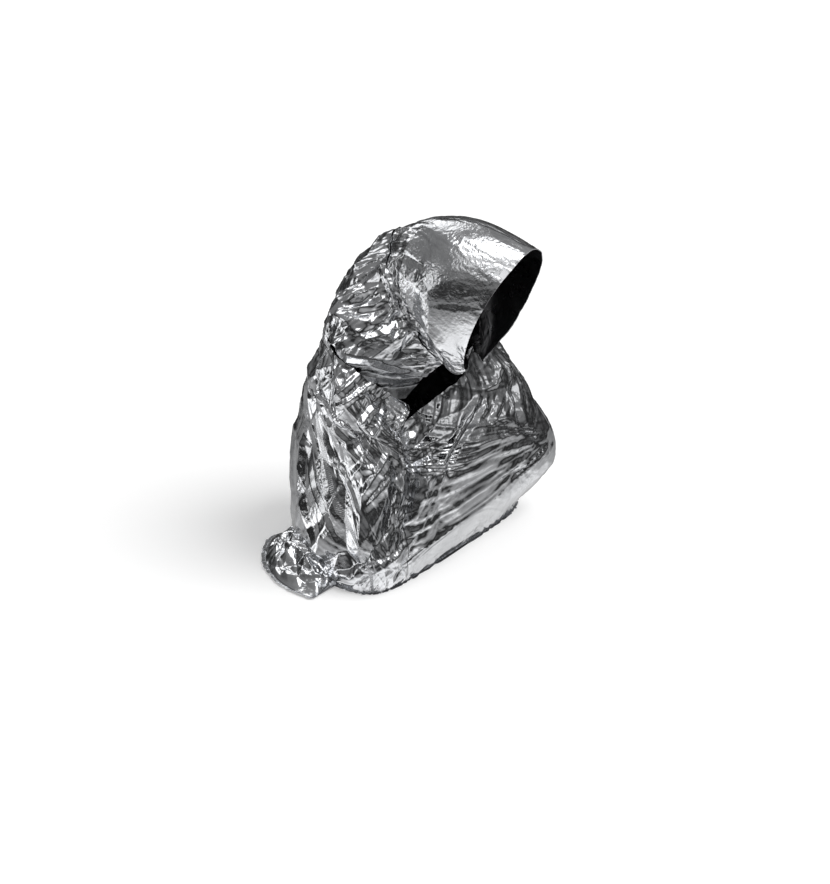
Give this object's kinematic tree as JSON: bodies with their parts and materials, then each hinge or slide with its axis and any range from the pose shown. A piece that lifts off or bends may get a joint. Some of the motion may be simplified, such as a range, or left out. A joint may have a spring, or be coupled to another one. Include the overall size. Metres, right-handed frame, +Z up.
{
  "type": "bivy sack",
  "caption": "Silver metallised-film bivy sack worn upright round a seated figure, with a hood, open throat, split front flaps and a loose foot end on the floor.",
  "frame": {"origin": "on the floor, on the underside of the ground sheet, below the middle of the wearer's lap", "axes": "+Z up, -Y the way the wearer faces, -X the wearer's right"},
  "size_m": [0.7355, 0.6024, 0.7991],
  "materials": {
    "film": "crumpled mirror-bright metallised polyester film",
    "hood_film": "finely dimpled metallised polyester film",
    "inner_film": "smooth satin metallised polyester film",
    "ground_film": "flattened metallised polyester film",
    "sealed_seam": "ribbed heat-sealed metallised film",
    "folded_hem": "folded double film edge"
  },
  "bodies": {
    "sack_body": {"back_panel": "film", "side_seam_right": "sealed_seam", "side_seam_left": "sealed_seam", "ground_panel": "ground_film", "ground_seam": "sealed_seam", "shoulder_cape_right": "film", "shoulder_cape_left": "film", "yoke_seam": "sealed_seam", "collar_right": "film", "collar_left": "film", "nape_tab": "sealed_seam", "throat_leaf": "inner_film"},
    "hood": {"hood_panel_right": "hood_film", "hood_panel_left": "hood_film", "hood_crown_seam": "sealed_seam", "hood_rim_hem_right": "folded_hem", "hood_rim_hem_left": "folded_hem"},
    "right_front": {"right_front_panel": "film", "right_front_hem": "folded_hem"},
    "left_front": {"left_front_panel": "film", "left_front_hem": "folded_hem"},
    "foot_end": {"foot_end_upper": "film", "foot_end_lower": "film", "foot_end_seal": "sealed_seam"}
  },
  "joints": [
    {"name": "hood_fold_back", "type": "hinge", "parent": "sack_body", "child": "hood", "pos_m": [0, -0.081, 0.752], "axis": [-1, 0, 0], "range_deg": [0, 75]},
    {"name": "right_front_open", "type": "hinge", "parent": "sack_body", "child": "right_front", "pos_m": [-0.3341, -0.2145, 0.0137], "axis": [-0.157, -0.341, -0.9269], "range_deg": [0, 70]},
    {"name": "left_front_open", "type": "hinge", "parent": "sack_body", "child": "left_front", "pos_m": [0.3558, -0.1229, 0.0157], "axis": [-0.136, 0.104, 0.9852], "range_deg": [0, 65]},
    {"name": "foot_end_lift", "type": "hinge", "parent": "sack_body", "child": "foot_end", "pos_m": [-0.3574, -0.1061, 0.074], "axis": [0.5519, 0.8339, 0], "range_deg": [0, 70]}
  ]
}
